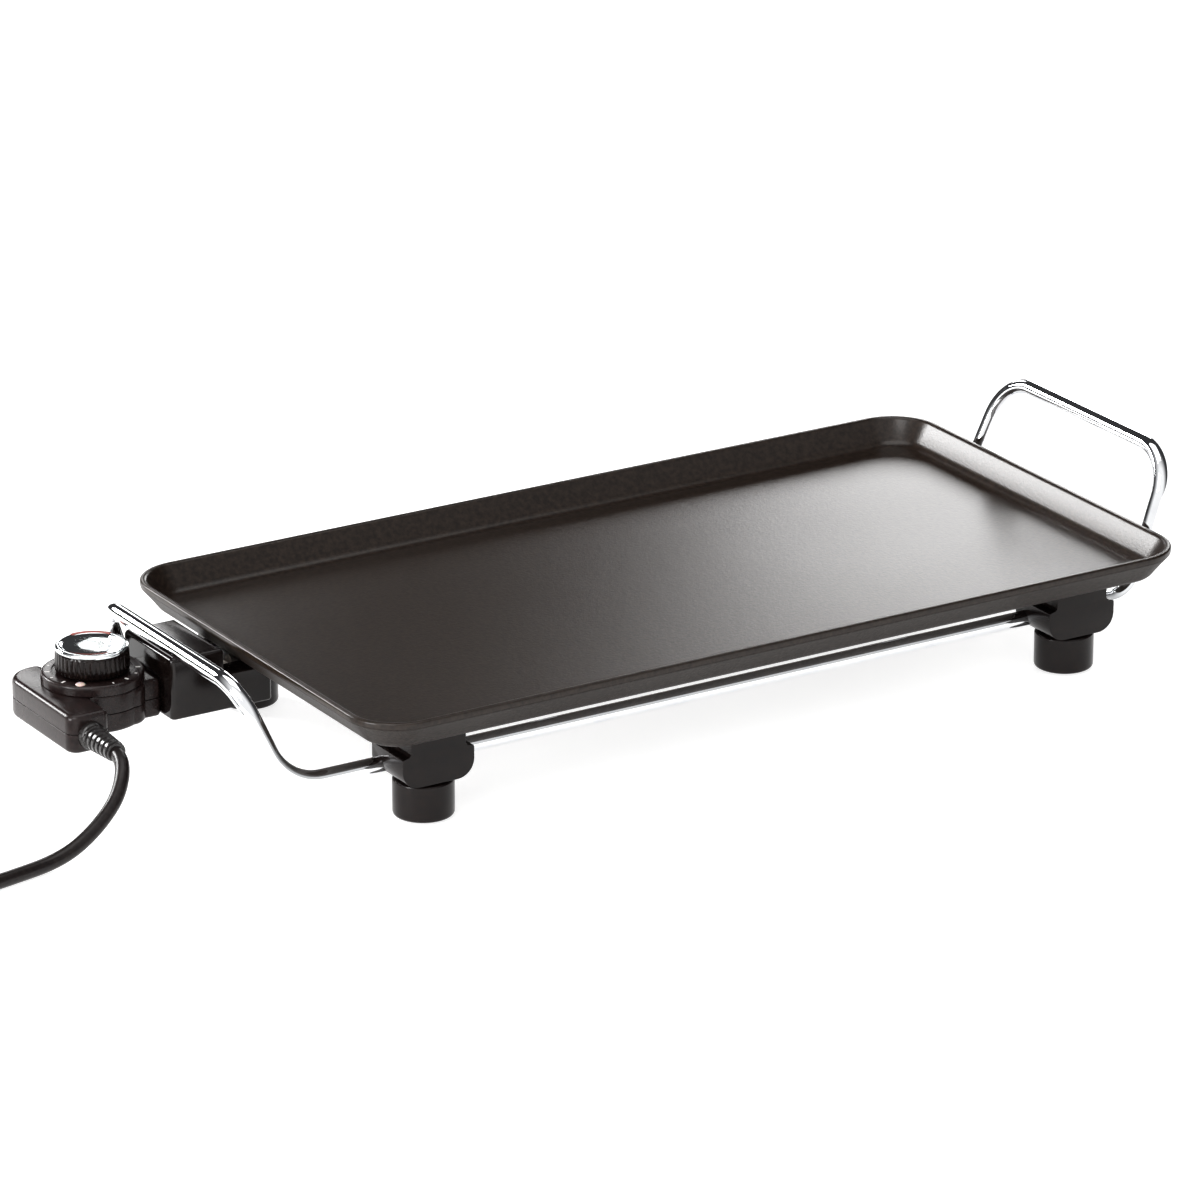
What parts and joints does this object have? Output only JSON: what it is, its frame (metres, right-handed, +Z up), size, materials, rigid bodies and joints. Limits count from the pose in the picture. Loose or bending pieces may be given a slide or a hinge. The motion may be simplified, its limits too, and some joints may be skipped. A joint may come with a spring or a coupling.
{
  "type": "electric griddle",
  "caption": "Tabletop electric griddle: flat non-stick tray on levelling feet, chrome rod handles, plug-in thermostat with a temperature dial and mains lead.",
  "frame": {"origin": "on the table surface, under the middle of the griddle's box without its mains lead", "axes": "+X along the long side, from the controller's end to the far end; +Y from the front to the back; +Z up"},
  "size_m": [0.7739, 0.248, 0.097],
  "materials": {
    "nonstick_cast": "satin",
    "bare_aluminium": "satin",
    "heater_sheath": "satin",
    "stainless_steel": "satin",
    "brass": "satin",
    "ceramic": "matte",
    "black_phenolic": "gloss",
    "chrome_rod": "polished",
    "black_rubber": "matte",
    "zinc_screw": "satin",
    "case_plastic": "satin",
    "collar_plastic": "gloss",
    "chrome_cap": "polished",
    "amber_lens": "gloss",
    "cord_sheath": "satin",
    "plug_brass": "satin"
  },
  "bodies": {
    "griddle": {"griddle_plate": "nonstick_cast", "heating_element": "heater_sheath", "element_clips": "bare_aluminium", "probe_sleeve": "bare_aluminium", "terminal_block": "ceramic", "terminal_pins": "stainless_steel", "socket_housing": "black_phenolic", "housing_screws": "zinc_screw", "leg_bracket_fl": "black_phenolic", "leg_bracket_fr": "black_phenolic", "leg_bracket_bl": "black_phenolic", "leg_bracket_br": "black_phenolic", "bracket_screws": "zinc_screw", "threaded_inserts": "brass", "left_handle": "chrome_rod", "right_handle": "chrome_rod", "front_rod": "chrome_rod", "rear_rod": "chrome_rod"},
    "controller": {"controller_lower_shell": "case_plastic", "controller_upper_shell": "case_plastic", "shell_screws": "zinc_screw", "thermostat_switch": "ceramic", "temperature_probe": "stainless_steel", "contact_sockets": "brass", "shaft_bush": "brass", "dial_collar": "collar_plastic", "pilot_lens": "amber_lens", "strain_relief": "black_rubber", "power_cord": "cord_sheath", "cord_coil": "cord_sheath", "coil_tie": "black_rubber", "plug_body": "black_phenolic", "plug_pins": "plug_brass"},
    "dial": {"knob_shaft": "stainless_steel", "control_knob": "black_phenolic", "knob_cap": "chrome_cap"},
    "foot_sole_fl": {"foot_pad_fl": "black_rubber"},
    "foot_fl": {"foot_knob_fl": "black_phenolic", "foot_stud_fl": "zinc_screw"},
    "foot_sole_fr": {"foot_pad_fr": "black_rubber"},
    "foot_fr": {"foot_knob_fr": "black_phenolic", "foot_stud_fr": "zinc_screw"},
    "foot_sole_bl": {"foot_pad_bl": "black_rubber"},
    "foot_bl": {"foot_knob_bl": "black_phenolic", "foot_stud_bl": "zinc_screw"},
    "foot_sole_br": {"foot_pad_br": "black_rubber"},
    "foot_br": {"foot_knob_br": "black_phenolic", "foot_stud_br": "zinc_screw"}
  },
  "joints": [
    {"name": "controller_unplug", "type": "slide", "parent": "griddle", "child": "controller", "axis": [-1, 0, 0], "range_m": [0, 0.07]},
    {"name": "dial_turn", "type": "hinge", "parent": "controller", "child": "dial", "pos_m": [-0.257, 0.0435, 0.06], "axis": [0, 0, -1], "range_deg": [0, 270]},
    {"name": "foot_lift_fl", "type": "slide", "parent": "griddle", "child": "foot_sole_fl", "axis": [0, 0, -1], "range_m": [0, 0.006]},
    {"name": "foot_turn_fl", "type": "hinge", "parent": "foot_sole_fl", "child": "foot_fl", "pos_m": [-0.1515, -0.0845, 0.01], "axis": [0, 0, -1], "range_deg": [0, 1080]},
    {"name": "foot_lift_fr", "type": "slide", "parent": "griddle", "child": "foot_sole_fr", "axis": [0, 0, -1], "range_m": [0, 0.006]},
    {"name": "foot_turn_fr", "type": "hinge", "parent": "foot_sole_fr", "child": "foot_fr", "pos_m": [0.2135, -0.0845, 0.01], "axis": [0, 0, -1], "range_deg": [0, 1080]},
    {"name": "foot_lift_bl", "type": "slide", "parent": "griddle", "child": "foot_sole_bl", "axis": [0, 0, -1], "range_m": [0, 0.006]},
    {"name": "foot_turn_bl", "type": "hinge", "parent": "foot_sole_bl", "child": "foot_bl", "pos_m": [-0.1515, 0.0845, 0.01], "axis": [0, 0, -1], "range_deg": [0, 1080]},
    {"name": "foot_lift_br", "type": "slide", "parent": "griddle", "child": "foot_sole_br", "axis": [0, 0, -1], "range_m": [0, 0.006]},
    {"name": "foot_turn_br", "type": "hinge", "parent": "foot_sole_br", "child": "foot_br", "pos_m": [0.2135, 0.0845, 0.01], "axis": [0, 0, -1], "range_deg": [0, 1080]}
  ],
  "couplings": [
    {"joint": "foot_lift_fl", "follows": "foot_turn_fl", "m_per_rad": 0.00031831},
    {"joint": "foot_lift_fr", "follows": "foot_turn_fr", "m_per_rad": 0.00031831},
    {"joint": "foot_lift_bl", "follows": "foot_turn_bl", "m_per_rad": 0.00031831},
    {"joint": "foot_lift_br", "follows": "foot_turn_br", "m_per_rad": 0.00031831}
  ]
}
